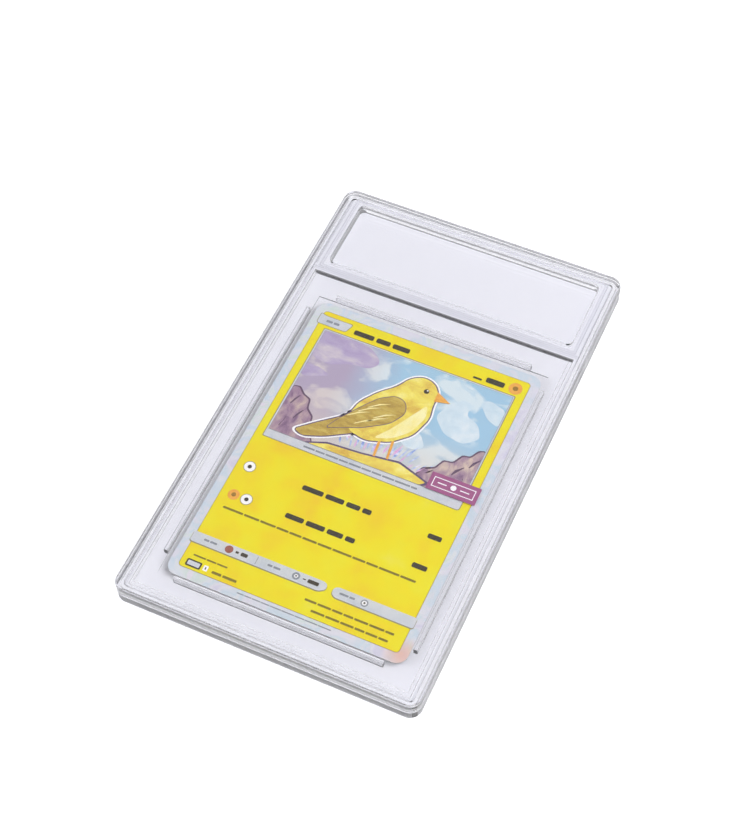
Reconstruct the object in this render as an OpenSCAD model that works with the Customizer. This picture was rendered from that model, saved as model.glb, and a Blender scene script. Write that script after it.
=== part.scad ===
// Graded card slab: two clear moulded shells that press together round a
// trading card. It lies on its back, origin under its middle, +Y towards the
// label end and +Z out of the front face. All sizes are in millimetres.

/* [Slab] */
// Width across the slab
slab_w = 79.6; // [76:0.2:84]
// Height from the bottom edge to the label end
slab_h = 134.2; // [131:0.2:140]
// Thickness of the closed slab
slab_t = 6; // [6:0.1:8]
// Radius of the four outer corners, seen from the front
corner_r = 3.2; // [2.6:0.1:5]
// Rounding of the outer edges, front and back
edge_r = 0.5; // [0.4:0.1:1]
// Width of the solid frame round the windows
frame_w = 3.6; // [3.4:0.1:4.5]
// Depth of the shadow line at the joint of the two shells
seam_depth = 0.3; // [0.1:0.1:0.4]
// Height of the shadow line at the joint of the two shells
seam_height = 0.3; // [0.1:0.1:0.5]
// Air left between the two shells at the joint
seam_gap = 0.04; // [0.02:0.01:0.1]

/* [Card window] */
// Height of the card window, along Y
window_h = 102.1; // [98:0.1:103]
// Width of the step that borders the card window
window_step = 0.9; // [0.5:0.1:1.2]
// Height of the step above the joint of the two shells
step_rise = 0.5; // [0.2:0.1:0.7]
// Thickness of the front face over the card
window_plate = 2; // [1.6:0.1:2]
// Thickness of the back face round the card well
floor_plate = 2; // [1.9:0.1:2.1]

/* [Label pocket] */
// Width of the label pocket
label_w = 69.1; // [60:0.1:70]
// Height of the label pocket, along Y
label_h = 21; // [18:0.1:21]
// Radius of the label pocket's corners
label_r = 1.5; // [0.5:0.1:3]
// Thickness of the faces over and under the label pocket
label_plate = 1.5; // [1.2:0.1:2]

/* [Card well] */
// Width of the recess that the card lies in
well_w = 64.8; // [64:0.1:66]
// Height of the recess that the card lies in
well_h = 90.2; // [89:0.1:91]
// Depth of the recess below the floor round it
well_depth = 0.3; // [0.1:0.1:0.4]
// Length of the ribs across the two short ends of the well
end_rib_l = 55; // [40:1:58]
// Length of the ribs along the two long sides of the well
side_rib_l = 79.5; // [60:0.5:82]
// Thickness of the ribs
rib_t = 1; // [0.8:0.1:1.5]
// Height of the ribs above the floor
rib_h = 1.8; // [1:0.1:1.8]

/* [Joint] */
// Distance from the slab's outline to the tongue
tongue_inset = 1.3; // [1.2:0.1:1.4]
// Thickness of the tongue
tongue_t = 0.7; // [0.5:0.1:0.7]
// Height of the tongue above the joint
tongue_h = 0.8; // [0.4:0.1:1]
// Clearance round the tongue in its groove
tongue_clear = 0.2; // [0.1:0.05:0.2]

/* [Card] */
// Width of the card
card_w = 63; // [62:0.1:63]
// Height of the card
card_h = 88; // [87:0.1:88]
// Radius of the card's corners
card_r = 3; // [2:0.1:4]
// Thickness of the card's core board
core_t = 0.2; // [0.16:0.02:0.3]
// Thickness of each of the card's two printed plies
ply_t = 0.05; // [0.04:0.01:0.1]
// Sideways place of the loose card in its well
card_shift = 0.2; // [-0.5:0.1:0.5]

/* [Hidden] */
$fn = 64;

clear = [0.90, 0.91, 0.95, 0.45];
board_white = "white";
card_yellow = "gold";
card_blue = "steelblue";

split_z = slab_t / 2;
window_drop = 0.1; // how far the window reaches into the frame's lower bar
well_drop = 0.2; // how far the well's middle lies below the window's
lap = 0.01; // how far an added solid sinks into what carries it
bottom_y = -slab_h / 2;
window_w = slab_w - 2 * frame_w;
window_y = bottom_y + frame_w - window_drop + window_h / 2;
label_y = slab_h / 2 - frame_w - label_h / 2;
well_y = window_y - well_drop;
well_z = floor_plate - well_depth;
cut = 1; // how far a cut runs past the face that it opens

// A rectangle with round corners, centred.
module rounded_rect(w, h, r) {
    square([w - 2 * r, h], center = true);
    square([w, h - 2 * r], center = true);
    for (x = [-1, 1], y = [-1, 1])
        translate([x * (w / 2 - r), y * (h / 2 - r)])
            circle(r);
}

// The slab's outline, moved in by a distance.
module outline(inset = 0) {
    rounded_rect(slab_w - 2 * inset, slab_h - 2 * inset, corner_r - inset);
}

// Section of the slab's border, t high, with its top outer corner rounded.
module border_section(t) {
    square([corner_r, t - edge_r]);
    square([corner_r - edge_r, t]);
    translate([corner_r - edge_r, t - edge_r])
        circle(edge_r);
}

// A straight length of the border, centred on the X axis and facing +X.
module border_bar(length, t) {
    rotate([90, 0, 0])
        linear_extrude(length, center = true)
            border_section(t);
}

// One half of the slab's block, z from 0 up to t, with its top edge rounded.
module half_block(t) {
    inner_w = slab_w - 2 * corner_r;
    inner_h = slab_h - 2 * corner_r;
    translate([-inner_w / 2, -inner_h / 2, 0])
        cube([inner_w, inner_h, t]);
    for (turn = [0, 180])
        rotate([0, 0, turn]) {
            translate([inner_w / 2, 0, 0])
                border_bar(inner_h, t);
            translate([0, inner_h / 2, 0])
                rotate([0, 0, 90])
                    border_bar(inner_w, t);
            translate([inner_w / 2, inner_h / 2, 0])
                rotate_extrude(angle = 90)
                    border_section(t);
            translate([-inner_w / 2, inner_h / 2, 0])
                rotate([0, 0, 90])
                    rotate_extrude(angle = 90)
                        border_section(t);
        }
}

// A ring that follows the outline, from one inset to a larger one.
module outline_ring(inner, outer, h) {
    linear_extrude(h)
        difference() {
            outline(inner);
            outline(outer);
        }
}

// The label pocket's outline as a prism, from z1 to z2.
module label_pocket(z1, z2) {
    translate([0, label_y, z1])
        linear_extrude(z2 - z1)
            rounded_rect(label_w, label_h, label_r);
}

// The card window's hollow as a block, made smaller all round, from z1 to z2.
module window_block(inset, z1, z2) {
    translate([inset - window_w / 2, window_y + inset - window_h / 2, z1])
        cube([window_w - 2 * inset, window_h - 2 * inset, z2 - z1]);
}

// Back half: the floor with the card well, its ribs and the tongue.
module back_shell() {
    color(clear) {
        difference() {
            translate([0, 0, split_z])
                mirror([0, 0, 1])
                    half_block(split_z);
            window_block(-window_step / 2, floor_plate, split_z + cut);
            translate([-well_w / 2, well_y - well_h / 2, well_z])
                cube([well_w, well_h, split_z]);
            label_pocket(label_plate, split_z + cut);
        }
        locating_ribs();
        translate([0, 0, split_z - lap])
            outline_ring(tongue_inset, tongue_inset + tongue_t, tongue_h + lap);
    }
}

// Four low ribs along the card well, which leave its corners open.
module locating_ribs() {
    rib_full_h = rib_h + lap;
    translate([-rib_t / 2, -rib_t / 2, floor_plate - lap]) {
        for (y = [-1, 1])
            translate([(rib_t - end_rib_l) / 2, well_y + y * (well_h + rib_t) / 2, 0])
                cube([end_rib_l, rib_t, rib_full_h]);
        for (x = [-1, 1])
            translate([x * (well_w + rib_t) / 2, well_y + (rib_t - side_rib_l) / 2, 0])
                cube([rib_t, side_rib_l, rib_full_h]);
    }
}

// Front half: the face with its stepped window border and the groove.
module front_shell() {
    joint_z = split_z + seam_gap;
    color(clear)
        difference() {
            translate([0, 0, joint_z])
                half_block(slab_t - joint_z);
            window_block(-window_step / 2, joint_z - cut, split_z + step_rise);
            window_block(window_step / 2, joint_z - cut, slab_t - window_plate);
            label_pocket(joint_z - cut, slab_t - label_plate);
            translate([0, 0, joint_z - cut])
                outline_ring(tongue_inset - tongue_clear, tongue_inset + tongue_t + tongue_clear,
                             cut + tongue_h + tongue_clear);
            translate([0, 0, joint_z - cut])
                outline_ring(-cut, seam_depth, cut + seam_height);
        }
}

// One layer of the card, from z1 up, in its place in the well.
module card_layer(z1, t) {
    translate([card_shift, well_y, z1])
        linear_extrude(t)
            rounded_rect(card_w, card_h, card_r);
}

// Printed paper on the card's back.
module card_back_ply() {
    color(card_blue)
        card_layer(well_z + seam_gap, ply_t);
}

// Board in the middle of the card.
module card_core() {
    color(board_white)
        card_layer(well_z + seam_gap + ply_t, core_t);
}

// Printed foil paper on the card's front.
module card_front_ply() {
    color(card_yellow)
        card_layer(well_z + seam_gap + ply_t + core_t, ply_t);
}

back_shell();
front_shell();
card_back_ply();
card_core();
card_front_ply();
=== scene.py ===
"""Looks of a graded card slab: two clear moulded shells pressed together round a trading card.

Everything is in metres in the slab's own frame. It lies on its back with its origin under its
middle, +Y towards the label end and +Z out of the front face.
"""

import logging
import math
import random
from dataclasses import dataclass, field
from enum import Enum

import bmesh
import bpy
from mathutils import Matrix, Vector


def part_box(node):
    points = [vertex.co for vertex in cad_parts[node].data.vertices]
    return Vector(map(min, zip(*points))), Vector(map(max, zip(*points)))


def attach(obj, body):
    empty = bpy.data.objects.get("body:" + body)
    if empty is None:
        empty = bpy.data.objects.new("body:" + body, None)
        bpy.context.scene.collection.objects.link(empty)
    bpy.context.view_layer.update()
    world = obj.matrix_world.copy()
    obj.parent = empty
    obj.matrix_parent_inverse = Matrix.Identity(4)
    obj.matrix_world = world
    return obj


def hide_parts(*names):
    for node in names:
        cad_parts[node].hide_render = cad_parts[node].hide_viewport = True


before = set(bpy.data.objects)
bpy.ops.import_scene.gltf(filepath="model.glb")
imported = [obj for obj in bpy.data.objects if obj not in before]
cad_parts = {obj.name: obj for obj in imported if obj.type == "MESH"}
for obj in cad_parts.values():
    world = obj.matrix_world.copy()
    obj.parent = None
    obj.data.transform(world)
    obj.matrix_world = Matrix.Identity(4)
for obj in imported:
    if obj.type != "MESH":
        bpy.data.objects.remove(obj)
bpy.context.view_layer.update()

MM = 0.001
Point = tuple[float, float]
Colour = tuple[float, float, float, float]
log = logging.getLogger("slab")


def linear(hex_colour: str) -> Colour:
    """Turns an sRGB hex colour into the linear RGBA that a shader takes."""
    parts = [int(hex_colour[i:i + 2], 16) / 255 for i in (1, 3, 5)]
    lit = [p / 12.92 if p <= 0.04045 else ((p + 0.055) / 1.055) ** 2.4 for p in parts]
    return (lit[0], lit[1], lit[2], 1.0)


def add_node(
    tree: bpy.types.NodeTree,
    kind: str,
    inputs: dict | None = None,
    stops: list[tuple[float, str]] | None = None,
    **settings,
) -> bpy.types.Node:
    """Adds one shader node with its settings, values and links.

    Args:
        tree: The node tree that the node goes in.
        kind: The node's Blender type, such as "ShaderNodeTexNoise".
        inputs: Input name or number to a value, or to the socket that feeds it.
        stops: A colour ramp's stops, each a position and a hex colour.
        **settings: The node's own properties, such as operation="MULTIPLY".

    Returns:
        The new node.
    """
    node = tree.nodes.new(kind)
    for name, value in settings.items():
        setattr(node, name, value)
    for name, value in (inputs or {}).items():
        if isinstance(value, bpy.types.NodeSocket):
            tree.links.new(value, node.inputs[name])
        else:
            node.inputs[name].default_value = value
    if stops:
        ramp = node.color_ramp.elements
        while len(ramp) < len(stops):
            ramp.new(1.0)
        for element, (position, colour) in zip(ramp, stops):
            element.position = position
            element.color = linear(colour)
    return node


@dataclass(frozen=True)
class Finish:
    """A named surface finish. Each kind of finish says how its nodes are wired."""

    name: str

    def material(self) -> bpy.types.Material:
        """Returns this finish as a material, which is made on the first call."""
        made = bpy.data.materials.get(self.name)
        if made:
            return made
        made = bpy.data.materials.new(self.name)
        made.use_nodes = True
        made.node_tree.nodes.clear()
        shader = self.shader(made.node_tree)
        add_node(made.node_tree, "ShaderNodeOutputMaterial", {"Surface": shader})
        return made

    def shader(self, tree: bpy.types.NodeTree) -> bpy.types.NodeSocket:
        """Wires the finish's nodes and returns the socket that the output takes."""
        raise NotImplementedError


@dataclass(frozen=True)
class ClearPolystyrene(Finish):
    """Crystal polystyrene, injection moulded in a polished tool.

    It is nearly colourless with a cool violet cast in its edges. Its faces mirror
    sharply, and the flow of the melt leaves ripples that only show in reflections.
    """

    tint: str = "#FCFCFD"
    ior: float = 1.59
    roughness: float = 0.03
    ripple_mm: float = 9.0
    ripple_depth_mm: float = 0.004
    shadow_tint: str = "#FBFBFD"

    def shader(self, tree: bpy.types.NodeTree) -> bpy.types.NodeSocket:
        """Wires the clear plastic, which lets lamps through to what it holds."""
        place = add_node(tree, "ShaderNodeTexCoord").outputs["Object"]
        ripple = add_node(
            tree, "ShaderNodeTexNoise",
            {"Vector": place, "Scale": 1 / (self.ripple_mm * MM), "Detail": 2.0},
        )
        bump = add_node(
            tree, "ShaderNodeBump",
            {"Height": ripple.outputs["Fac"], "Strength": 1.0,
             "Distance": self.ripple_depth_mm * MM},
        )
        plastic = add_node(
            tree, "ShaderNodeBsdfPrincipled",
            {"Base Color": self.body_colour(tree, place), "Roughness": self.roughness,
             "IOR": self.ior, "Transmission Weight": 1.0, "Normal": bump.outputs["Normal"]},
        )
        lamp_path = add_node(
            tree, "ShaderNodeBsdfTransparent", {"Color": linear(self.shadow_tint)}
        )
        is_shadow = add_node(tree, "ShaderNodeLightPath").outputs["Is Shadow Ray"]
        mixed = add_node(
            tree, "ShaderNodeMixShader",
            {0: is_shadow, 1: plastic.outputs[0], 2: lamp_path.outputs[0]},
        )
        return mixed.outputs[0]

    def body_colour(self, tree: bpy.types.NodeTree,
                    place: bpy.types.NodeSocket) -> bpy.types.NodeSocket | Colour:
        """Returns the tint that light picks up at each face: one colour all over."""
        return linear(self.tint)


@dataclass(frozen=True)
class JointPolystyrene(ClearPolystyrene):
    """Clear polystyrene at the joint faces, where the two shells nearly touch.

    Fine grey streaks follow the sides of the card window and the label pocket.
    """

    rooms: tuple[tuple[Point, Point], ...] = (
        ((0.0, -12.55), (36.2, 51.05)), ((0.0, 53.0), (34.55, 10.5)),
    )
    streak_mm: float = 0.55
    waver_mm: float = 0.35
    waver_length_mm: float = 16.0
    streak_tints: tuple[str, ...] = ("#D3D3D8", "#F5F5F8", "#FEFEFE")

    def body_colour(self, tree: bpy.types.NodeTree,
                    place: bpy.types.NodeSocket) -> bpy.types.NodeSocket | Colour:
        """Returns a tint that changes with the distance from the nearest hollow."""
        split = add_node(tree, "ShaderNodeSeparateXYZ", {"Vector": place}).outputs
        nearest = None
        for middle, half in self.rooms:
            sides = []
            for i, axis in enumerate("XY"):
                from_middle = add_node(
                    tree, "ShaderNodeMath", {0: split[axis], 1: middle[i] * MM},
                    operation="SUBTRACT",
                ).outputs[0]
                reach = add_node(
                    tree, "ShaderNodeMath", {0: from_middle}, operation="ABSOLUTE"
                ).outputs[0]
                sides.append(add_node(
                    tree, "ShaderNodeMath", {0: reach, 1: half[i] * MM}, operation="SUBTRACT"
                ).outputs[0])
            outside = add_node(
                tree, "ShaderNodeMath", {0: sides[0], 1: sides[1]}, operation="MAXIMUM"
            ).outputs[0]
            nearest = outside if nearest is None else add_node(
                tree, "ShaderNodeMath", {0: nearest, 1: outside}, operation="MINIMUM"
            ).outputs[0]
        waver = add_node(
            tree, "ShaderNodeTexNoise",
            {"Vector": place, "Scale": 1 / (self.waver_length_mm * MM)},
        ).outputs["Fac"]
        along = add_node(
            tree, "ShaderNodeMath", {0: waver, 1: self.waver_mm * MM, 2: nearest},
            operation="MULTIPLY_ADD",
        ).outputs[0]
        streaks = add_node(
            tree, "ShaderNodeTexNoise",
            {"W": along, "Scale": 1 / (self.streak_mm * MM), "Detail": 2.0},
            noise_dimensions="1D",
        ).outputs["Fac"]
        return add_node(
            tree, "ShaderNodeValToRGB", {"Fac": streaks},
            stops=[(0.32, self.streak_tints[0]), (0.5, self.streak_tints[1]),
                   (0.65, self.streak_tints[2])],
        ).outputs["Color"]


@dataclass(frozen=True)
class PrintedInk(Finish):
    """Offset ink under gloss varnish, in one or more shades that drift like brushwork."""

    shades: tuple[str, ...] = ("#808080",)
    patch_mm: float = 3.0
    stretch: tuple[float, float] = (1.0, 1.0)
    turn_deg: float = 0.0
    contrast: float = 0.5
    roughness: float = 0.38
    metallic: float = 0.0
    grain_mm: float = 0.25

    def shader(self, tree: bpy.types.NodeTree) -> bpy.types.NodeSocket:
        """Wires noise patches over a ramp of the shades, with a fine paper grain."""
        place = add_node(tree, "ShaderNodeTexCoord").outputs["Object"]
        turned = add_node(
            tree, "ShaderNodeMapping",
            {"Vector": place, "Rotation": (0.0, 0.0, math.radians(self.turn_deg)),
             "Scale": (self.stretch[0], self.stretch[1], 1.0)},
        ).outputs[0]
        patches = add_node(
            tree, "ShaderNodeTexNoise",
            {"Vector": turned, "Scale": 1 / (self.patch_mm * MM), "Detail": 4.0,
             "Roughness": 0.55, "Distortion": 0.4},
        ).outputs["Fac"]
        low = 0.5 - self.contrast / 2
        step = self.contrast / max(len(self.shades) - 1, 1)
        stops = [(low + step * i, shade) for i, shade in enumerate(self.shades)]
        if len(stops) == 1:
            stops.append((1.0, self.shades[0]))
        colour = add_node(
            tree, "ShaderNodeValToRGB", {"Fac": patches}, stops=stops
        ).outputs["Color"]
        grain = add_node(
            tree, "ShaderNodeTexNoise",
            {"Vector": place, "Scale": 1 / (self.grain_mm * MM), "Detail": 1.0},
        ).outputs["Fac"]
        grain_level = add_node(
            tree, "ShaderNodeMapRange",
            {"Value": grain, "From Min": 0.3, "From Max": 0.7, "To Min": 0.95, "To Max": 1.03},
        ).outputs[0]
        inked = add_node(
            tree, "ShaderNodeMix", {"Factor": 1.0, 6: colour, 7: grain_level},
            data_type="RGBA", blend_type="MULTIPLY",
        ).outputs[2]
        wear = add_node(
            tree, "ShaderNodeMapRange",
            {"Value": patches, "To Min": self.roughness - 0.05, "To Max": self.roughness + 0.05},
        ).outputs[0]
        return add_node(
            tree, "ShaderNodeBsdfPrincipled",
            {"Base Color": inked, "Roughness": wear, "Metallic": self.metallic,
             "Coat Weight": 0.25, "Coat Roughness": 0.12},
        ).outputs[0]


@dataclass(frozen=True)
class FoilBoard(Finish):
    """Silver mirror foil laminated to board and varnished.

    Its fine embossing breaks the light into faint violet, blue and green patches, which are painted
    into its colour here as painted shimmer, along with one painted warm glint near a corner.
    """

    # Silver tones with the faint tints of the painted shimmer.
    shades: tuple[str, ...] = (
        "#D9D6E6", "#E4E2EC", "#DCDFE8", "#CFDDE8", "#E2E4EA", "#D5E2DD", "#E6E1EA",
    )
    patch_mm: float = 7.0
    # Painted glint: a warm reflection painted into the colour, strongest at the spot below and
    # fading out over the reach.
    painted_glint: str = "#F5A070"
    painted_glint_spot: Point = (30.2, -54.2)
    painted_glint_reach_mm: float = 5.5
    emboss_mm: float = 0.35

    def shader(self, tree: bpy.types.NodeTree) -> bpy.types.NodeSocket:
        """Wires drifting pastel patches of painted shimmer, one painted warm glint and a fine
        emboss.
        """
        place = add_node(tree, "ShaderNodeTexCoord").outputs["Object"]
        drift = add_node(
            tree, "ShaderNodeTexNoise",
            {"Vector": place, "Scale": 1 / (self.patch_mm * MM), "Detail": 3.0,
             "Distortion": 0.8},
        ).outputs["Fac"]
        step = 0.4 / (len(self.shades) - 1)
        stops = [(0.3 + step * i, shade) for i, shade in enumerate(self.shades)]
        # Painted shimmer: the foil's hue-shifting reflections, painted into its colour as fixed
        # patches over its silver.
        silver_with_painted_shimmer = add_node(
            tree, "ShaderNodeValToRGB", {"Fac": drift}, stops=stops
        ).outputs["Color"]
        # Painted glint: the warm reflection is mixed into the colour round one spot near the card's
        # corner.
        spot = (self.painted_glint_spot[0] * MM, self.painted_glint_spot[1] * MM, 0.0)
        from_spot = add_node(
            tree, "ShaderNodeVectorMath", {0: place, 1: spot}, operation="DISTANCE"
        ).outputs["Value"]
        painted_glint_level = add_node(
            tree, "ShaderNodeMapRange",
            {"Value": from_spot, "From Min": 0.0, "From Max": self.painted_glint_reach_mm * MM,
             "To Min": 0.85, "To Max": 0.0},
        ).outputs[0]
        colour = add_node(
            tree, "ShaderNodeMix",
            {"Factor": painted_glint_level, 6: silver_with_painted_shimmer, 7: linear(self.painted_glint)}, data_type="RGBA",
        ).outputs[2]
        emboss = add_node(
            tree, "ShaderNodeTexVoronoi", {"Vector": place, "Scale": 1 / (self.emboss_mm * MM)}
        ).outputs["Distance"]
        bump = add_node(
            tree, "ShaderNodeBump",
            {"Height": emboss, "Strength": 0.3, "Distance": 0.01 * MM},
        ).outputs["Normal"]
        return add_node(
            tree, "ShaderNodeBsdfPrincipled",
            {"Base Color": colour, "Metallic": 0.15, "Roughness": 0.3, "Normal": bump,
             "Coat Weight": 0.4, "Coat Roughness": 0.1},
        ).outputs[0]


@dataclass(frozen=True)
class SkyPrint(Finish):
    """Printed sky: mauve haze at the left that clears to blue with white clouds."""

    haze: tuple[str, str] = ("#AFA2B8", "#D2C8C6")
    blue: tuple[str, str] = ("#9FC3DA", "#D3E0E5")
    sand: str = "#DCCFC2"
    cloud_mm: float = 9.0
    middle: Point = (-7.0, 0.0)
    blend_mm: float = 9.0
    low_y_mm: float = 0.0
    sand_reach_mm: float = 16.0

    def shader(self, tree: bpy.types.NodeTree) -> bpy.types.NodeSocket:
        """Wires both skies over one cloud noise and blends them across the picture."""
        place = add_node(tree, "ShaderNodeTexCoord").outputs["Object"]
        flat = add_node(
            tree, "ShaderNodeMapping", {"Vector": place, "Scale": (1.0, 1.5, 1.0)}
        ).outputs[0]
        clouds = add_node(
            tree, "ShaderNodeTexNoise",
            {"Vector": flat, "Scale": 1 / (self.cloud_mm * MM), "Detail": 5.0,
             "Roughness": 0.5, "Distortion": 0.6},
        ).outputs["Fac"]
        skies = []
        for dark, light in (self.haze, self.blue):
            skies.append(add_node(
                tree, "ShaderNodeValToRGB", {"Fac": clouds},
                stops=[(0.42, dark), (0.5, dark), (0.62, light)],
            ).outputs["Color"])
        split = add_node(tree, "ShaderNodeSeparateXYZ", {"Vector": place}).outputs
        wander = add_node(
            tree, "ShaderNodeMath", {0: clouds, 1: self.blend_mm * MM, 2: split["X"]},
            operation="MULTIPLY_ADD",
        ).outputs[0]
        across = add_node(
            tree, "ShaderNodeMapRange",
            {"Value": wander, "From Min": (self.middle[0] - self.blend_mm / 2) * MM,
             "From Max": (self.middle[0] + self.blend_mm) * MM},
        ).outputs[0]
        sky = add_node(
            tree, "ShaderNodeMix", {"Factor": across, 6: skies[0], 7: skies[1]},
            data_type="RGBA",
        ).outputs[2]
        near_ground = add_node(
            tree, "ShaderNodeMapRange",
            {"Value": split["Y"], "From Min": self.low_y_mm * MM,
             "From Max": (self.low_y_mm + self.sand_reach_mm) * MM, "To Min": 0.8, "To Max": 0.0},
        ).outputs[0]
        hazy = add_node(
            tree, "ShaderNodeMix", {"Factor": near_ground, 6: sky, 7: linear(self.sand)},
            data_type="RGBA",
        ).outputs[2]
        return add_node(
            tree, "ShaderNodeBsdfPrincipled",
            {"Base Color": hazy, "Roughness": 0.38, "Coat Weight": 0.25,
             "Coat Roughness": 0.12},
        ).outputs[0]


@dataclass(frozen=True)
class CardBackPrint(Finish):
    """Printed back of a card: slanting stripes of two soft blues in a pale border."""

    border: str = "#E6E7EA"
    stripe_blue: str = "#5A7CA5"
    stripe_pale: str = "#86A3C4"
    pitch_mm: float = 5.5
    centre: Point = (0.0, 0.0)
    half_size: Point = (28.5, 41.0)

    def shader(self, tree: bpy.types.NodeTree) -> bpy.types.NodeSocket:
        """Wires a framed field of even slanting bands."""
        place = add_node(tree, "ShaderNodeTexCoord").outputs["Object"]
        centred = add_node(
            tree, "ShaderNodeMapping",
            {"Vector": place, "Location": (-self.centre[0] * MM, -self.centre[1] * MM, 0.0)},
        ).outputs[0]
        full_turn = math.pi * math.sqrt(2) / 10
        bands = add_node(
            tree, "ShaderNodeTexWave",
            {"Vector": centred, "Scale": full_turn / (self.pitch_mm * MM)},
            wave_type="BANDS", bands_direction="DIAGONAL",
        ).outputs["Fac"]
        stripes = add_node(
            tree, "ShaderNodeValToRGB", {"Fac": bands},
            stops=[(0.45, self.stripe_blue), (0.55, self.stripe_pale)],
        ).outputs["Color"]
        split = add_node(tree, "ShaderNodeSeparateXYZ", {"Vector": centred}).outputs
        inside = []
        for axis, half in zip(("X", "Y"), self.half_size):
            away = add_node(
                tree, "ShaderNodeMath", {0: split[axis]}, operation="ABSOLUTE"
            ).outputs[0]
            inside.append(add_node(
                tree, "ShaderNodeMath", {0: away, 1: half * MM}, operation="LESS_THAN"
            ).outputs[0])
        in_frame = add_node(
            tree, "ShaderNodeMath", {0: inside[0], 1: inside[1]}, operation="MULTIPLY"
        ).outputs[0]
        colour = add_node(
            tree, "ShaderNodeMix", {"Factor": in_frame, 6: linear(self.border), 7: stripes},
            data_type="RGBA",
        ).outputs[2]
        return add_node(
            tree, "ShaderNodeBsdfPrincipled",
            {"Base Color": colour, "Roughness": 0.4, "Coat Weight": 0.2},
        ).outputs[0]


@dataclass(frozen=True)
class CutBoard(Finish):
    """Cut edge of laminated card board: off-white fibres with a darker glue line."""

    fibre: str = "#EDEAE2"
    shade: str = "#C9C4B8"

    def shader(self, tree: bpy.types.NodeTree) -> bpy.types.NodeSocket:
        """Wires short fibres that run in the board's plane."""
        place = add_node(tree, "ShaderNodeTexCoord").outputs["Object"]
        layered = add_node(
            tree, "ShaderNodeMapping", {"Vector": place, "Scale": (1.0, 1.0, 8.0)}
        ).outputs[0]
        fibres = add_node(
            tree, "ShaderNodeTexNoise", {"Vector": layered, "Scale": 2.0 / MM, "Detail": 3.0}
        ).outputs["Fac"]
        colour = add_node(
            tree, "ShaderNodeValToRGB", {"Fac": fibres},
            stops=[(0.35, self.shade), (0.6, self.fibre)],
        ).outputs["Color"]
        bump = add_node(
            tree, "ShaderNodeBump", {"Height": fibres, "Strength": 0.4, "Distance": 0.01 * MM}
        ).outputs["Normal"]
        return add_node(
            tree, "ShaderNodeBsdfPrincipled",
            {"Base Color": colour, "Roughness": 0.85, "Normal": bump},
        ).outputs[0]


@dataclass(frozen=True)
class StudioPaper(Finish):
    """Seamless white background paper with a very faint tooth."""

    shade: str = "#FAFAFB"

    def shader(self, tree: bpy.types.NodeTree) -> bpy.types.NodeSocket:
        """Wires matt paper with a slight mottle."""
        place = add_node(tree, "ShaderNodeTexCoord").outputs["Object"]
        tooth = add_node(
            tree, "ShaderNodeTexNoise", {"Vector": place, "Scale": 1 / (2.0 * MM)}
        ).outputs["Fac"]
        rough = add_node(
            tree, "ShaderNodeMapRange", {"Value": tooth, "To Min": 0.85, "To Max": 0.95}
        ).outputs[0]
        return add_node(
            tree, "ShaderNodeBsdfPrincipled",
            {"Base Color": linear(self.shade), "Roughness": rough},
        ).outputs[0]


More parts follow.
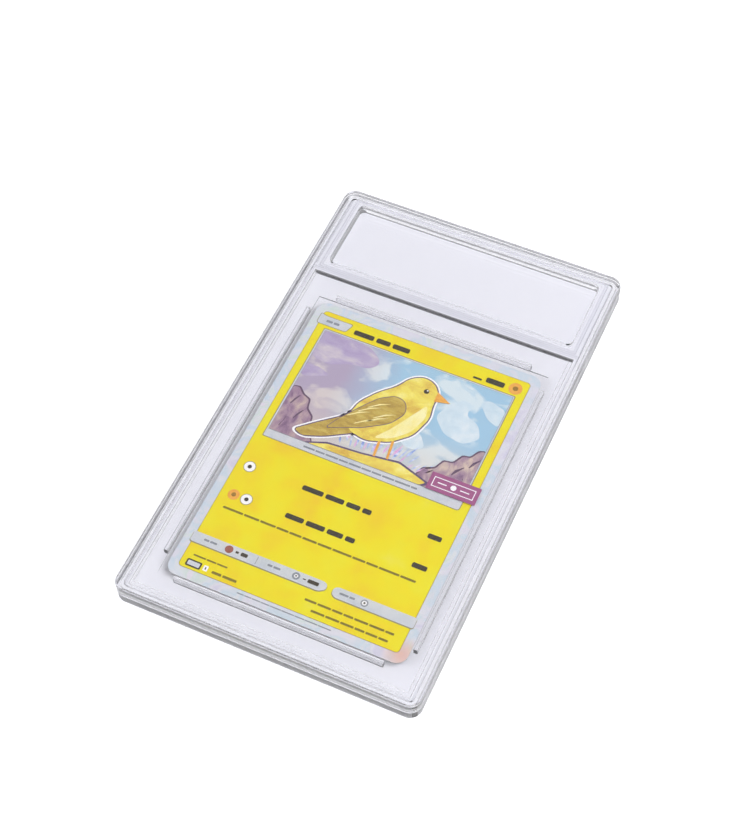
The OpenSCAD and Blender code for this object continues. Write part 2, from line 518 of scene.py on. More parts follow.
class Inks(Enum):
    """Every finish of the printed card, the shells and the studio."""

    SHELL = ClearPolystyrene("clear moulded polystyrene")
    LAND = JointPolystyrene("streaked polystyrene at the joint", roughness=0.1)
    SIDE = ClearPolystyrene("satin polystyrene on the sides", roughness=0.5)
    # Its colour holds a painted shimmer and a painted warm glint.
    FOIL = FoilBoard("embossed silver foil board")
    BACK = CardBackPrint("printed card back", centre=(0.2, -12.75))
    BOARD = CutBoard("cut card board")
    YELLOW = PrintedInk(
        "yellow ink over foil", ("#EBBE2E", "#ECD020", "#ECDB18", "#EADF24", "#EBE04A"),
        patch_mm=13.0, contrast=0.5,
    )
    BROWN_LINE = PrintedInk("brown key line ink", ("#8C6A2A", "#A07C34"), roughness=0.45)
    SILVER = PrintedInk(
        "silver panel foil", ("#CBD3DE", "#DDE1E8", "#E7E6EC"), patch_mm=5.0,
        roughness=0.3, metallic=0.25,
    )
    SILVER_SHADE = PrintedInk("grey panel shadow ink", ("#9A8E62", "#8C8672"))
    WHITE = PrintedInk("opaque white ink", ("#F4F3F6", "#FCFBFD"))
    BLACK = PrintedInk("black text ink", ("#35302A", "#463F36"), patch_mm=1.0)
    SOFT_BLACK = PrintedInk("thin brown text ink", ("#8A7A2C", "#7A6C30"), patch_mm=1.0)
    GREY = PrintedInk("grey text ink", ("#7F858F", "#969BA4"), patch_mm=1.0)
    ORANGE = PrintedInk("orange icon ink", ("#E59A3C", "#F0B45A"), patch_mm=1.2)
    RED_BROWN = PrintedInk("red brown icon ink", ("#8E5247", "#A4655A"), patch_mm=1.2)
    MAGENTA = PrintedInk("magenta stamp ink", ("#9B5582", "#A5608B"), patch_mm=4.0)
    SKY = SkyPrint("printed sky", low_y_mm=-10.4)
    ROCK = PrintedInk(
        "painted brown rock", ("#7F6380", "#9C8096", "#B69EA2", "#D2BDAE"),
        patch_mm=3.5, contrast=0.35, stretch=(1.3, 0.7), turn_deg=25.0,
    )
    ROCK_LINE = PrintedInk("dark rock contour", ("#5B4560", "#6C5468"), patch_mm=2.0)
    MIST = PrintedInk(
        "painted mauve cloud", ("#A796BC", "#B5A7C4", "#CFC5CB"), patch_mm=4.0,
        contrast=0.4, stretch=(0.6, 1.4), turn_deg=-20.0,
    )
    CLOUD = PrintedInk("painted white cloud", ("#BFD4E0", "#D0DFE7", "#E2E9EC"), patch_mm=3.0)
    SPRAY = PrintedInk(
        "painted blue spray", ("#7F93D6", "#9FB4E4", "#C6D2F0", "#F0E6F6"), patch_mm=2.2,
        contrast=0.35, stretch=(0.5, 1.6), turn_deg=35.0,
    )
    SPRAY_PINK = PrintedInk("painted pink spray", ("#D79AD2", "#E8C6E8"), patch_mm=1.2)
    FEATHER = PrintedInk(
        "painted yellow feather", ("#D3A94A", "#E5CB5A", "#EEDD62", "#F3E78A"),
        patch_mm=3.5, contrast=0.4, stretch=(0.8, 1.2), turn_deg=-35.0,
    )
    FEATHER_PALE = PrintedInk(
        "painted pale feather", ("#F4E58A", "#FAF3BE"), patch_mm=2.5,
    )
    CONTOUR = PrintedInk("violet contour ink", ("#5A4A6E", "#6A587A"), patch_mm=2.0)
    WING = PrintedInk(
        "painted olive feather", ("#A88B45", "#BDA14E", "#CDB661"), patch_mm=1.6,
        contrast=0.4, stretch=(0.6, 1.6), turn_deg=-50.0,
    )
    PAPER = StudioPaper("seamless background paper")


@dataclass(frozen=True)
class Shape:
    """A flat shape of ink, in millimetres from the card's centre."""

    def add_to(self, mesh: bmesh.types.BMesh) -> None:
        """Adds the shape's upward face or faces to the mesh, at z = 0."""
        raise NotImplementedError


@dataclass(frozen=True)
class Disc(Shape):
    """A round dot."""

    centre: Point
    radius: float

    def add_to(self, mesh: bmesh.types.BMesh) -> None:
        """Adds one round face."""
        place = Matrix.Translation((self.centre[0], self.centre[1], 0.0))
        bmesh.ops.create_circle(
            mesh, cap_ends=True, segments=36, radius=self.radius, matrix=place
        )


@dataclass(frozen=True)
class Outline(Shape):
    """A closed outline whose corners are rounded, grown outwards if asked."""

    points: tuple[Point, ...]
    rounding: float = 0.0
    grow: float = 0.0
    hollow: float = 0.0
    steps: int = 5

    def add_to(self, mesh: bmesh.types.BMesh) -> None:
        """Adds one face, or a band of the hollow width inside its edge."""
        outline = grown(self.points, self.grow) if self.grow else self.points
        corners = [mesh.verts.new((x, y, 0.0)) for x, y in outline]
        face = mesh.faces.new(corners)
        if self.rounding:
            made = bmesh.ops.bevel(
                mesh, geom=corners, offset=self.rounding + self.grow, segments=self.steps,
                profile=0.5, affect="VERTICES", material=-1, clamp_overlap=True,
            )
            face = next(f for v in made["verts"] for f in v.link_faces)
        if self.hollow:
            face.normal_update()
            bmesh.ops.inset_region(
                mesh, faces=[face], thickness=self.hollow, use_boundary=True,
                use_even_offset=True,
            )
            bmesh.ops.delete(mesh, geom=[face], context="FACES")


def grown(points: tuple[Point, ...], reach: float) -> tuple[Point, ...]:
    """Moves every side of a closed outline outwards.

    Args:
        points: The outline's corners, in order.
        reach: How far each side moves.

    Returns:
        The corners of the larger outline.
    """
    ring = [Vector(point) for point in points]
    area = sum(ring[i - 1].cross(ring[i]) for i in range(len(ring)))
    way = 1.0 if area > 0 else -1.0
    larger: list[Point] = []
    for i, corner in enumerate(ring):
        before = (corner - ring[i - 1]).normalized()
        after = (ring[(i + 1) % len(ring)] - corner).normalized()
        out_before = Vector((before.y, -before.x)) * way
        out_after = Vector((after.y, -after.x)) * way
        spread = max(1.0 + out_before.dot(out_after), 0.4)
        moved = corner + (out_before + out_after) * (reach / spread)
        larger.append((moved.x, moved.y))
    return tuple(larger)


def bar(left: float, right: float, low: float, high: float, rounding: float = 0.0) -> Outline:
    """Returns an upright rectangle between the given sides, in millimetres."""
    return Outline(((left, low), (right, low), (right, high), (left, high)), rounding)


def band(left: float, right: float, low: float, high: float, width: float,
         rounding: float = 0.0) -> Outline:
    """Returns a rectangular frame line of the given width, in millimetres."""
    points = ((left, low), (right, low), (right, high), (left, high))
    return Outline(points, rounding, hollow=width)


def word_blocks(left: float, right: float, middle: float, height: float,
                block: float, dice: random.Random) -> list[Shape]:
    """Fills a line with plain bars of uneven length, which stand in for words.

    Args:
        left: Where the line starts.
        right: Where the line ends.
        middle: The height of the line's middle on the card.
        height: How tall the blocks are.
        block: The usual length of a block.
        dice: The source of the uneven lengths.

    Returns:
        The blocks, from left to right.
    """
    blocks: list[Shape] = []
    gap = height * 0.5
    start = left
    while start < right - block * 0.4:
        end = min(start + block * dice.uniform(0.7, 1.3), right)
        blocks.append(bar(start, end, middle - height / 2, middle + height / 2,
                          min(height, end - start) * 0.3))
        start = end + gap
    return blocks


@dataclass
class InkPress:
    """Lays flat ink shapes on the card's face, each level a hair above the last."""

    centre: Point
    face_z: float
    body: str = "card"
    slot: str = "card_front"
    level_step: float = 0.02 * MM
    ink_t: float = 0.014 * MM

    def lay(self, name: str, level: int, ink: Inks, shapes: list[Shape]) -> bpy.types.Object:
        """Prints shapes of one ink on one level as one closed, thin piece.

        Args:
            name: The piece's name.
            level: How many steps above the card's face it lies.
            ink: The finish.
            shapes: The shapes, in millimetres from the card's centre.

        Returns:
            The piece, which rides with the card.
        """
        mesh = bmesh.new()
        for shape in shapes:
            shape.add_to(mesh)
        mesh.normal_update()
        for face in mesh.faces:
            if face.normal.z < 0:
                face.normal_flip()
        raised = bmesh.ops.extrude_face_region(
            mesh, geom=list(mesh.faces), use_keep_orig=True
        )["geom"]
        tops = [v for v in raised if isinstance(v, bmesh.types.BMVert)]
        bmesh.ops.translate(mesh, verts=tops, vec=(0.0, 0.0, self.ink_t / MM))
        bmesh.ops.recalc_face_normals(mesh, faces=list(mesh.faces))
        base = self.face_z + self.level_step * (level - 1) + (self.level_step - self.ink_t) / 2
        place = Matrix.Translation((self.centre[0] * MM, self.centre[1] * MM, base))
        bmesh.ops.transform(mesh, matrix=place @ Matrix.Scale(MM, 4), verts=list(mesh.verts))
        piece = finished_piece(name, mesh, ink)
        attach(piece, self.body)
        return piece


def finished_piece(name: str, mesh: bmesh.types.BMesh, ink: Inks) -> bpy.types.Object:
    """Turns a bmesh in the slab's frame into a scene object with one finish."""
    data = bpy.data.meshes.new(name)
    mesh.to_mesh(data)
    mesh.free()
    data.materials.append(ink.value.material())
    piece = bpy.data.objects.new(name, data)
    bpy.context.scene.collection.objects.link(piece)
    log.info("made %s: %d faces", name, len(data.polygons))
    return piece


@dataclass
class CardFrontPrint:
    """The print on the card's front: panels, picture and plain blocks in place of words."""

    press: InkPress
    panel_half: Point = (29.0, 41.3)
    art_half_w: float = 26.3
    art_low: float = 2.4
    art_high: float = 35.6
    dice: random.Random = field(default_factory=lambda: random.Random(7))

    def build(self) -> None:
        """Prints every layer of the card's front."""
        self.panels()
        self.picture_ground()
        self.bird()
        self.stamp()
        self.heading_rows()
        self.lower_bars()
        self.small_print()

    def panels(self) -> None:
        """Prints the yellow panel, the name line and the silver frame of the picture."""
        half_w, half_h = self.panel_half
        press = self.press
        press.lay("yellow_panel_edge", 1, Inks.BROWN_LINE,
                  [band(-half_w - 0.12, half_w + 0.12, -half_h - 0.12, half_h + 0.12, 0.3, 1.0)])
        press.lay("yellow_panel", 2, Inks.YELLOW, [bar(-half_w, half_w, -half_h, half_h, 0.9)])
        tab = ((-29.6, 37.2), (-21.4, 37.2), (-20.4, 39.9), (-28.2, 39.9), (-29.6, 40.4))
        press.lay("corner_tab_shadow", 3, Inks.SILVER_SHADE, [Outline(tab, 0.5, grow=0.16)])
        press.lay("corner_tab", 4, Inks.SILVER, [Outline(tab, 0.5)])
        press.lay("corner_tab_print", 5, Inks.GREY,
                  word_blocks(-27.4, -22.8, 38.5, 0.7, 2.0, self.dice))
        press.lay("name_print", 3, Inks.BLACK,
                  word_blocks(-19.2, -3.4, 38.1, 1.5, 5.2, self.dice))
        press.lay("points_print", 3, Inks.BLACK,
                  [bar(14.6, 17.0, 37.2, 37.8, 0.2), bar(18.0, 23.0, 37.3, 38.9, 0.45)])
        press.lay("corner_icon", 3, Inks.ORANGE, [Disc((25.9, 38.4), 1.8)])
        press.lay("corner_icon_mark", 4, Inks.BROWN_LINE, [Disc((25.9, 38.4), 0.7)])
        self.picture_frame()

    def picture_frame(self) -> None:
        """Prints the silver frame round the picture and the strip under it."""
        half_w, low, high = self.art_half_w, self.art_low, self.art_high
        press = self.press
        strip = ((-half_w - 0.5, 0.1), (half_w + 0.1, -0.3), (half_w + 0.4, 0.2),
                 (half_w + 0.4, high + 0.4), (-half_w - 0.4, high + 0.4))
        press.lay("picture_frame_shadow", 3, Inks.SILVER_SHADE,
                  [Outline(strip, 0.5, grow=0.22)])
        press.lay("picture_frame", 4, Inks.SILVER, [Outline(strip, 0.5)])
        press.lay("picture_key_line", 5, Inks.GREY,
                  [bar(-half_w - 0.1, half_w + 0.1, low - 0.1, high + 0.1)])
        press.lay("picture_strip_print", 5, Inks.GREY,
                  word_blocks(-16.0, 15.0, 1.1, 0.5, 3.4, self.dice))

    def picture_ground(self) -> None:
        """Prints the sky, the clouds, the rocks and the spray behind the bird."""
        press, half_w, low, high = self.press, self.art_half_w, self.art_low, self.art_high
        press.lay("picture_sky", 6, Inks.SKY, [bar(-half_w, half_w, low, high)])
        press.lay("picture_mauve_clouds", 7, Inks.MIST, [
            Outline(((-half_w, 27.0), (-21.0, 26.0), (-15.5, 28.6), (-11.0, 28.8), (-8.6, 31.4),
                     (-10.4, 33.6), (-14.0, high), (-half_w, high)), 1.6),
            Outline(((-half_w, 20.4), (-23.6, 21.0), (-19.2, 23.0), (-22.2, 24.4),
                     (-half_w, 24.4)), 0.8),
        ])
        press.lay("picture_white_clouds", 7, Inks.CLOUD, [
            Outline(((10.6, 22.6), (12.4, 27.0), (15.4, 30.2), (18.0, 29.6), (17.6, 25.8),
                     (21.6, 24.4), (23.6, 20.6), (20.0, 17.4), (14.4, 18.6)), 1.4),
            Outline(((19.4, 30.8), (21.4, 32.4), (half_w, 31.0), (half_w, 25.6),
                     (23.0, 26.8)), 1.0),
            Outline(((3.4, 13.0), (5.6, 16.6), (9.4, 16.2), (12.0, 12.6), (8.4, 10.8)), 1.3),
        ])
        left_rock = ((-half_w, low), (-half_w, 16.8), (-24.4, 17.2), (-22.6, 15.4), (-20.4, 14.6),
                     (-19.8, 11.8), (-17.6, 10.0), (-17.0, 6.6), (-14.2, low))
        right_rock = ((half_w, low), (half_w, 18.0), (24.6, 17.4), (23.4, 15.0), (21.4, 14.6),
                      (20.0, 11.8), (17.6, 11.4), (16.4, 8.6), (13.6, 7.4), (12.0, low))
        press.lay("picture_rock_contours", 8, Inks.ROCK_LINE, [
            Outline(left_rock, 0.5), Outline(right_rock, 0.5)])
        press.lay("picture_rocks", 9, Inks.ROCK, [
            Outline(tuple((max(x - 0.35, -half_w), max(y - 0.35, low)) for x, y in left_rock),
                    0.5),
            Outline(tuple((min(x + 0.35, half_w), max(y - 0.35, low)) for x, y in right_rock),
                    0.5),
        ])
        press.lay("picture_rock_cracks", 10, Inks.ROCK_LINE, self.cracks())
        press.lay("picture_spray", 8, Inks.SPRAY, self.spray(17, (-8.0, 14.0), 6.0))
        press.lay("picture_pink_spray", 9, Inks.SPRAY_PINK, self.spray(11, (-9.0, 15.0), 4.6))
        ledge = ((-16.5, low), (-11.0, 4.6), (-2.0, 5.2), (8.0, 6.6), (17.5, 3.6), (16.0, low))
        press.lay("picture_ledge_contour", 10, Inks.CONTOUR, [Outline(ledge, 0.4)])
        press.lay("picture_ledge", 11, Inks.FEATHER, [
            Outline(((-15.4, low), (-10.7, 4.1), (-2.0, 4.7), (8.0, 6.0), (16.2, 3.5),
                     (15.0, low)), 0.4)])

    def cracks(self) -> list[Shape]:
        """Returns thin crack lines over both rocks."""
        feet = ((-24.6, 4.2), (-22.2, 7.6), (-20.4, 4.6), (-24.8, 11.4), (18.2, 4.0),
                (21.0, 8.2), (23.8, 5.2), (24.2, 11.8))
        lines: list[Shape] = []
        for x, y in feet:
            lean = self.dice.uniform(-1.0, 1.0)
            lines.append(Outline(((x, y), (x + 0.25, y - 0.1), (x + lean + 1.4, y + 3.1),
                                  (x + lean + 1.2, y + 3.2), (x + 0.5, y + 1.7)), 0.05))
        return lines

    def spray(self, count: int, reach_x: Point, length: float) -> list[Shape]:
        """Returns pointed flecks that fan out over the foot of the picture.

        Args:
            count: How many flecks there are.
            reach_x: The first and last place along the card's width.
            length: The longest fleck.

        Returns:
            The flecks, from left to right.
        """
        flecks: list[Shape] = []
        for i in range(count):
            share = i / (count - 1)
            x = reach_x[0] + (reach_x[1] - reach_x[0]) * share
            angle = math.radians(112 - 64 * share + self.dice.uniform(-3, 3))
            reach = length * self.dice.uniform(0.5, 1.0)
            low = self.dice.uniform(5.0, 8.0)
            tip = (x + math.cos(angle) * reach, low + math.sin(angle) * reach)
            half = self.dice.uniform(0.2, 0.42)
            side = (math.sin(angle) * half, -math.cos(angle) * half)
            belly = (x + math.cos(angle) * reach * 0.35, low + math.sin(angle) * reach * 0.35)
            flecks.append(Outline((
                (x, low), (belly[0] + side[0], belly[1] + side[1]), tip,
                (belly[0] - side[0], belly[1] - side[1]),
            ), 0.1))
        return flecks

    def bird(self) -> None:
        """Prints a plain yellow songbird that sits on the ledge, seen from its side."""
        body = ((3.4, 32.2), (6.8, 31.4), (8.9, 28.6), (8.7, 25.4), (9.6, 21.0), (7.8, 15.0),
                (3.4, 10.8), (-2.6, 8.8), (-7.6, 9.8), (-9.8, 13.4), (-8.8, 18.6),
                (-5.6, 23.2), (-1.8, 26.8), (0.2, 30.4))
        tail = ((-6.4, 14.2), (-9.2, 14.4), (-16.2, 8.6), (-20.4, 4.8), (-17.8, 3.8),
                (-12.6, 5.8), (-5.2, 10.2))
        wing = ((2.2, 23.2), (3.4, 20.0), (1.0, 15.8), (-4.8, 12.0), (-13.4, 8.2),
                (-11.4, 12.0), (-8.0, 17.0), (-4.6, 21.6), (-0.8, 24.0))
        press = self.press
        every = (body, tail, wing)
        press.lay("bird_glow", 11, Inks.WHITE, [Outline(p, 1.2, grow=0.75) for p in every])
        press.lay("bird_contour", 12, Inks.CONTOUR, [Outline(p, 1.2, grow=0.32) for p in every])
        press.lay("bird_tail", 13, Inks.WING, [Outline(tail, 0.8)])
        press.lay("bird_legs", 13, Inks.ORANGE, [
            Outline(((0.4, 10.6), (1.1, 10.6), (1.6, 5.4), (1.0, 5.4)), 0.1),
            Outline(((3.6, 11.4), (4.3, 11.4), (5.0, 5.9), (4.4, 5.9)), 0.1)])
        press.lay("bird_body", 14, Inks.FEATHER, [Outline(body, 1.4)])
        press.lay("bird_breast", 15, Inks.FEATHER_PALE, [
            Outline(((7.6, 24.8), (8.7, 21.0), (7.0, 15.6), (3.2, 11.8), (-1.2, 10.2),
                     (1.8, 14.2), (4.8, 19.6)), 1.3)])
        press.lay("bird_wing_contour", 15, Inks.CONTOUR, [Outline(wing, 1.2, grow=0.2)])
        press.lay("bird_wing", 16, Inks.WING, [Outline(wing, 1.2)])
        press.lay("bird_feather_lines", 17, Inks.FEATHER_PALE, self.feather_lines())
        press.lay("bird_beak", 15, Inks.ORANGE, [
            Outline(((8.4, 29.4), (12.6, 27.3), (8.5, 26.3)), 0.15)])
        press.lay("bird_eye", 15, Inks.BLACK, [Disc((5.6, 28.4), 0.7)])
        press.lay("bird_eye_light", 16, Inks.WHITE, [Disc((5.8, 28.7), 0.22)])

    def feather_lines(self) -> list[Shape]:
        """Returns the pale edges of the folded wing's feathers."""
        roots = ((1.6, 18.8), (0.2, 17.0), (-2.2, 15.4), (-1.0, 21.2), (-2.8, 19.2), (-4.8, 17.0))
        lines: list[Shape] = []
        for x, y in roots:
            lines.append(Outline((
                (x, y), (x - 2.6, y - 1.0), (x - 5.0, y - 3.0), (x - 5.1, y - 3.3),
                (x - 2.5, y - 1.4),
            ), 0.05))
        return lines

    def stamp(self) -> None:
        """Prints the plain magenta block over the picture's corner."""
        self.press.lay("corner_stamp", 19, Inks.MAGENTA, [bar(16.7, 29.8, 2.2, 7.3)])
        self.press.lay("corner_stamp_print", 20, Inks.WHITE, [
            band(17.7, 28.8, 3.3, 6.2, 0.22), Disc((23.2, 4.75), 0.75),
            bar(19.0, 21.4, 4.6, 4.9), bar(25.0, 27.4, 4.6, 4.9),
        ])

    def heading_rows(self) -> None:
        """Prints two rows of icons with plain blocks in place of words."""
        press, dice = self.press, self.dice
        press.lay("row_icon_rings", 3, Inks.SILVER_SHADE,
                  [Disc((-25.6, -9.7), 1.6), Disc((-22.1, -18.5), 1.6)])
        press.lay("row_icons", 4, Inks.WHITE,
                  [Disc((-25.6, -9.7), 1.42), Disc((-22.1, -18.5), 1.42)])
        press.lay("row_icon_marks", 5, Inks.BLACK,
                  [Disc((-25.6, -9.7), 0.55), Disc((-22.1, -18.5), 0.55)])
        press.lay("row_icon_orange", 4, Inks.ORANGE, [Disc((-25.6, -18.5), 1.5)])
        press.lay("row_icon_orange_mark", 5, Inks.BROWN_LINE, [Disc((-25.6, -18.5), 0.6)])
        words = word_blocks(-11.0, 7.6, -9.7, 1.4, 4.6, dice)
        words += word_blocks(-11.4, 7.2, -18.5, 1.4, 5.4, dice)
        words += [bar(22.7, 26.3, -10.4, -9.0, 0.4), bar(22.4, 26.3, -19.2, -17.8, 0.4)]
        press.lay("heading_print", 3, Inks.BLACK, words)
        press.lay("rule_line_print", 3, Inks.SOFT_BLACK,
                  word_blocks(-26.4, 25.2, -22.6, 0.62, 4.2, dice))

    def lower_bars(self) -> None:
        """Prints the two silver bars with their icons."""
        press = self.press
        left = ((-29.6, -34.2), (4.8, -34.2), (6.4, -33.2), (6.4, -31.9), (5.4, -31.3),
                (-29.6, -31.3))
        right = ((29.6, -34.2), (9.2, -34.2), (8.1, -33.4), (8.1, -31.9), (9.0, -31.3),
                 (29.6, -31.3))
        press.lay("lower_bar_shadows", 3, Inks.SILVER_SHADE,
                  [Outline(tuple((x, y - 0.22) for x, y in left), 0.5, grow=0.1),
                   Outline(tuple((x, y - 0.22) for x, y in right), 0.5, grow=0.1)])
        press.lay("lower_bars", 4, Inks.SILVER, [Outline(left, 0.5), Outline(right, 0.5)])
        press.lay("lower_bar_icons", 5, Inks.RED_BROWN, [Disc((-19.6, -32.7), 1.05)])
        press.lay("lower_bar_grey_icons", 5, Inks.GREY,
                  [Disc((-1.6, -32.7), 1.0), Disc((16.4, -32.7), 0.95),
                   bar(-12.2, -12.05, -33.8, -31.7)])
        press.lay("lower_bar_icon_marks", 6, Inks.WHITE,
                  [Disc((-1.6, -32.7), 0.5), Disc((16.4, -32.7), 0.62)])
        press.lay("lower_bar_icon_dots", 7, Inks.BLACK,
                  [Disc((-1.6, -32.7), 0.22), Disc((16.4, -32.7), 0.26)])
        labels: list[Shape] = []
        for left_end in (-26.4, -9.2, 9.9):
            labels += word_blocks(left_end, left_end + 4.0, -32.7, 0.55, 1.8, self.dice)
        press.lay("lower_bar_labels", 5, Inks.GREY, labels)
        values = [bar(-17.8, -17.0, -33.0, -32.4, 0.1), bar(-16.4, -14.6, -33.2, -32.2, 0.3),
                  bar(0.2, 1.0, -32.85, -32.55, 0.1), bar(1.5, 4.4, -33.2, -32.2, 0.3)]
        press.lay("lower_bar_values", 5, Inks.BLACK, values)

    def small_print(self) -> None:
        """Prints the marks under the bars and the fine line in the border."""
        press, dice = self.press, self.dice
        press.lay("set_mark", 3, Inks.BLACK, [bar(-27.6, -23.6, -40.7, -38.7, 0.4)])
        press.lay("set_mark_face", 4, Inks.SILVER, [bar(-27.2, -24.0, -40.3, -39.1, 0.2)])
        press.lay("small_mark", 3, Inks.WHITE, [bar(-23.0, -21.8, -40.4, -38.9, 0.15)])
        press.lay("small_mark_bar", 4, Inks.BLACK, [bar(-22.55, -22.25, -40.0, -39.3)])
        lines = word_blocks(-26.8, -17.4, -37.4, 0.45, 3.0, dice)
        lines += word_blocks(-20.6, -13.8, -39.9, 0.7, 3.2, dice)
        lines += word_blocks(3.0, 26.2, -37.4, 0.6, 3.0, dice)
        lines += word_blocks(5.6, 25.6, -39.6, 0.6, 3.0, dice)
        press.lay("small_print", 3, Inks.SOFT_BLACK, lines)
        press.lay("border_print", 1, Inks.GREY,
                  word_blocks(-12.6, 12.4, -42.4, 0.3, 2.6, dice))


@dataclass
class Card:
    """The trading card: board and plies from the frame, with its print on top."""

    def build(self) -> None:
        """Dresses the card's plies and prints its front."""
        for node, ink in (("card_front_ply", Inks.FOIL), ("card_core", Inks.BOARD),
                          ("card_back_ply", Inks.BACK)):
            dress(node, ink)
        low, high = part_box("card_front_ply")
        middle = (low + high) / 2 / MM
        press = InkPress((middle.x, middle.y), high.z)
        CardFrontPrint(press).build()


def dress(node: str, ink: Inks) -> None:
    """Gives a node of the frame its finish."""
    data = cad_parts[node].data
    data.materials.clear()
    data.materials.append(ink.value.material())
    log.info("dressed %s in %s", node, ink.value.name)


@dataclass
class Shells:
    """Both clear shells, each a copy of its solid with the soft edges of a real moulding."""

    edge_round: float = 0.09 * MM
    edge_steps: int = 2
    sharp_deg: float = 28.0
    crease_deg: float = 50.0
    land_reach: float = 0.1 * MM
    side_reach: float = 0.45 * MM
    bodies: dict[str, str] = field(
        default_factory=lambda: {"back_shell": "base", "front_shell": "cover"}
    )

    def build(self) -> None:
        """Makes and places both mouldings."""
        for node, body in self.bodies.items():
            piece = self.moulding(node)
            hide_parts(node)
            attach(piece, body)

    def moulding(self, node: str) -> bpy.types.Object:
        """Rounds every edge of a shell's solid a little, as a polished tool leaves it.

        Args:
            node: The frame's node that the moulding stands for.

        Returns:
            The moulding.
        """
        mesh = bmesh.new()
        mesh.from_mesh(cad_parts[node].data)
        bmesh.ops.remove_doubles(mesh, verts=list(mesh.verts), dist=1e-6)
        bmesh.ops.dissolve_limit(
            mesh, angle_limit=math.radians(0.5), verts=list(mesh.verts), edges=list(mesh.edges)
        )
        sharp = [e for e in mesh.edges
                 if len(e.link_faces) == 2 and e.calc_face_angle(0.0) > math.radians(self.sharp_deg)]
        bmesh.ops.bevel(
            mesh, geom=sharp, offset=self.edge_round, segments=self.edge_steps, profile=0.5,
            affect="EDGES", material=-1, clamp_overlap=True,
        )
        joint_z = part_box("front_shell")[0].z
        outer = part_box("front_shell")[1]
        for face in mesh.faces:
            face.smooth = True
            flat = abs(face.normal.z) > 0.99
            at_joint = abs(face.calc_center_median().z - joint_z) < self.land_reach
            face.material_index = 1 if flat and at_joint else 0
            middle = face.calc_center_median()
            beside = max(abs(middle.x) - outer.x, abs(middle.y) - outer.y)
            if beside > -self.side_reach and abs(face.normal.z) < 0.9:
                face.material_index = 2
        piece = finished_piece(node + "_moulding", mesh, Inks.SHELL)
        piece.data.materials.append(Inks.LAND.value.material())
        piece.data.materials.append(Inks.SIDE.value.material())
        piece.data.set_sharp_from_angle(angle=math.radians(self.crease_deg))
        even = piece.modifiers.new("flat faces stay flat", "WEIGHTED_NORMAL")
        even.mode = "FACE_AREA"
        even.weight = 100
        even.keep_sharp = True
        return piece


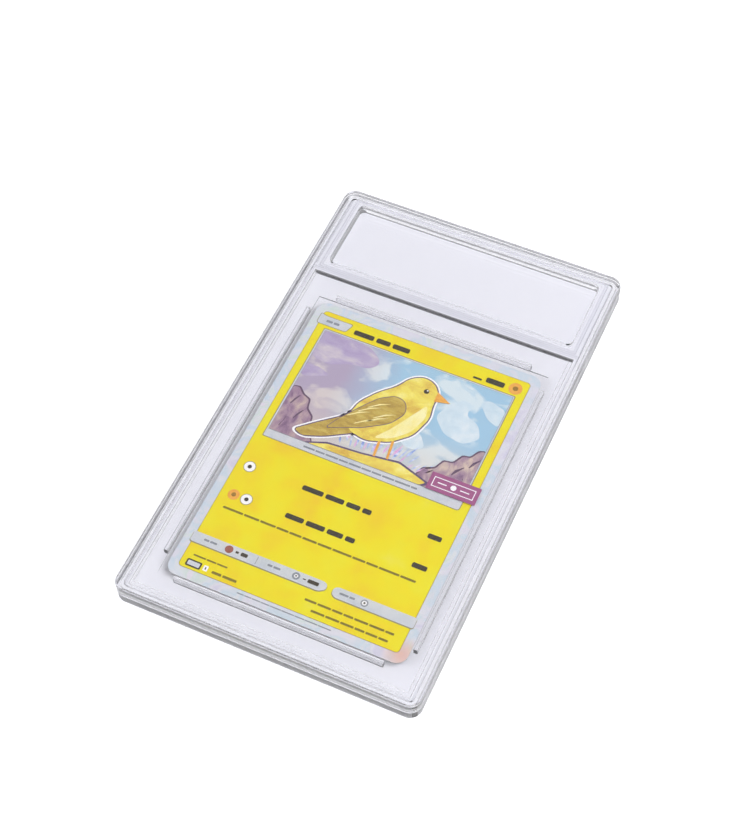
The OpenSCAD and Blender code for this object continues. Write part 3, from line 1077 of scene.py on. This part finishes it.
@dataclass
class Studio:
    """White paper floor, a soft overhead light and the camera."""

    azimuth: float = 26.61
    elevation: float = 56.50
    roll: float = -2.40
    distance: float = 0.4694
    target: tuple[float, float, float] = (-0.00463, 0.00675, 0.0)
    lens: float = 80.6
    sensor: float = 36.0
    floor_half: float = 3.0
    floor_gap: float = 0.02 * MM
    light_bounces: int = 32
    dome_level: float = 0.85
    dim_way: tuple[float, float, float] = (-0.247, 0.493, 0.834)
    dim_level: float = 0.25

    def build(self) -> None:
        """Sets up the camera, the floor, the lights and the surroundings."""
        self.camera()
        self.floor()
        self.lamp("soft overhead light", (0.55, 0.2, 0.8), 0.7, 9.0)
        self.lamp("soft side light", (-0.8, -0.35, 0.6), 0.5, 4.0)
        self.surroundings()
        scene = bpy.context.scene
        scene.view_settings.view_transform = "Standard"
        scene.cycles.max_bounces = self.light_bounces
        scene.cycles.transmission_bounces = self.light_bounces
        scene.cycles.transparent_max_bounces = self.light_bounces

    def camera(self) -> None:
        """Places the camera by its bearing round the slab."""
        data = bpy.data.cameras.new("camera")
        data.lens, data.sensor_width = self.lens, self.sensor
        data.clip_start, data.clip_end = 0.01, 20.0
        camera = bpy.data.objects.new("camera", data)
        bpy.context.scene.collection.objects.link(camera)
        bearing, height = math.radians(self.azimuth), math.radians(self.elevation)
        back = Vector((math.sin(bearing) * math.cos(height),
                       -math.cos(bearing) * math.cos(height), math.sin(height)))
        camera.location = Vector(self.target) + back * self.distance
        turn = (-back).to_track_quat("-Z", "Y") @ Matrix.Rotation(
            math.radians(self.roll), 3, "Z").to_quaternion()
        camera.rotation_mode = "QUATERNION"
        camera.rotation_quaternion = turn
        bpy.context.scene.camera = camera

    def floor(self) -> None:
        """Lays the white paper that the slab lies on."""
        mesh = bmesh.new()
        below = Matrix.Translation((0.0, 0.0, -self.floor_gap))
        bmesh.ops.create_grid(
            mesh, x_segments=1, y_segments=1, size=self.floor_half, matrix=below
        )
        floor = finished_piece("studio_floor", mesh, Inks.PAPER)

    def lamp(self, name: str, place: tuple[float, float, float], size: float,
             power: float) -> None:
        """Hangs one square soft light that faces the slab.

        Args:
            name: The light's name.
            place: Where it hangs.
            size: The length of its sides.
            power: Its power in watts.
        """
        data = bpy.data.lights.new(name, "AREA")
        data.size, data.energy = size, power
        lamp = bpy.data.objects.new(name, data)
        bpy.context.scene.collection.objects.link(lamp)
        lamp.location = place
        lamp.visible_glossy = False
        lamp.visible_transmission = False
        lamp.rotation_mode = "QUATERNION"
        lamp.rotation_quaternion = (-Vector(place)).to_track_quat("-Z", "Y")

    def surroundings(self) -> None:
        """Makes a bright dome with one dim side, so the front faces mirror little of it."""
        world = bpy.data.worlds.new("studio")
        bpy.context.scene.world = world
        world.use_nodes = True
        tree = world.node_tree
        tree.nodes.clear()
        way = add_node(tree, "ShaderNodeTexCoord").outputs["Generated"]
        height = add_node(tree, "ShaderNodeSeparateXYZ", {"Vector": way}).outputs["Z"]
        dome = add_node(
            tree, "ShaderNodeValToRGB", {"Fac": height},
            stops=[(0.0, "#CDCDD2"), (0.3, "#E8E8EB"), (0.6, "#FAFAFB"), (1.0, "#FFFFFF")],
        ).outputs["Color"]
        toward = add_node(
            tree, "ShaderNodeVectorMath", {0: way, 1: self.dim_way}, operation="DOT_PRODUCT"
        ).outputs["Value"]
        level = add_node(
            tree, "ShaderNodeMapRange",
            {"Value": toward, "From Min": 0.75, "From Max": 0.93, "To Min": self.dome_level,
             "To Max": self.dim_level},
        ).outputs[0]
        lit = add_node(tree, "ShaderNodeBackground", {"Color": dome, "Strength": level})
        seen = add_node(
            tree, "ShaderNodeBackground", {"Color": linear("#FAFAFC"), "Strength": 1.0}
        )
        is_camera = add_node(tree, "ShaderNodeLightPath").outputs["Is Camera Ray"]
        mixed = add_node(
            tree, "ShaderNodeMixShader", {0: is_camera, 1: lit.outputs[0], 2: seen.outputs[0]}
        ).outputs[0]
        add_node(tree, "ShaderNodeOutputWorld", {"Surface": mixed})


def main() -> None:
    """Builds the studio, the shells and the card, in that order."""
    logging.basicConfig(level=logging.INFO, format="%(name)s: %(message)s")
    Studio().build()
    Shells().build()
    Card().build()


if __name__ == "__main__":
    main()
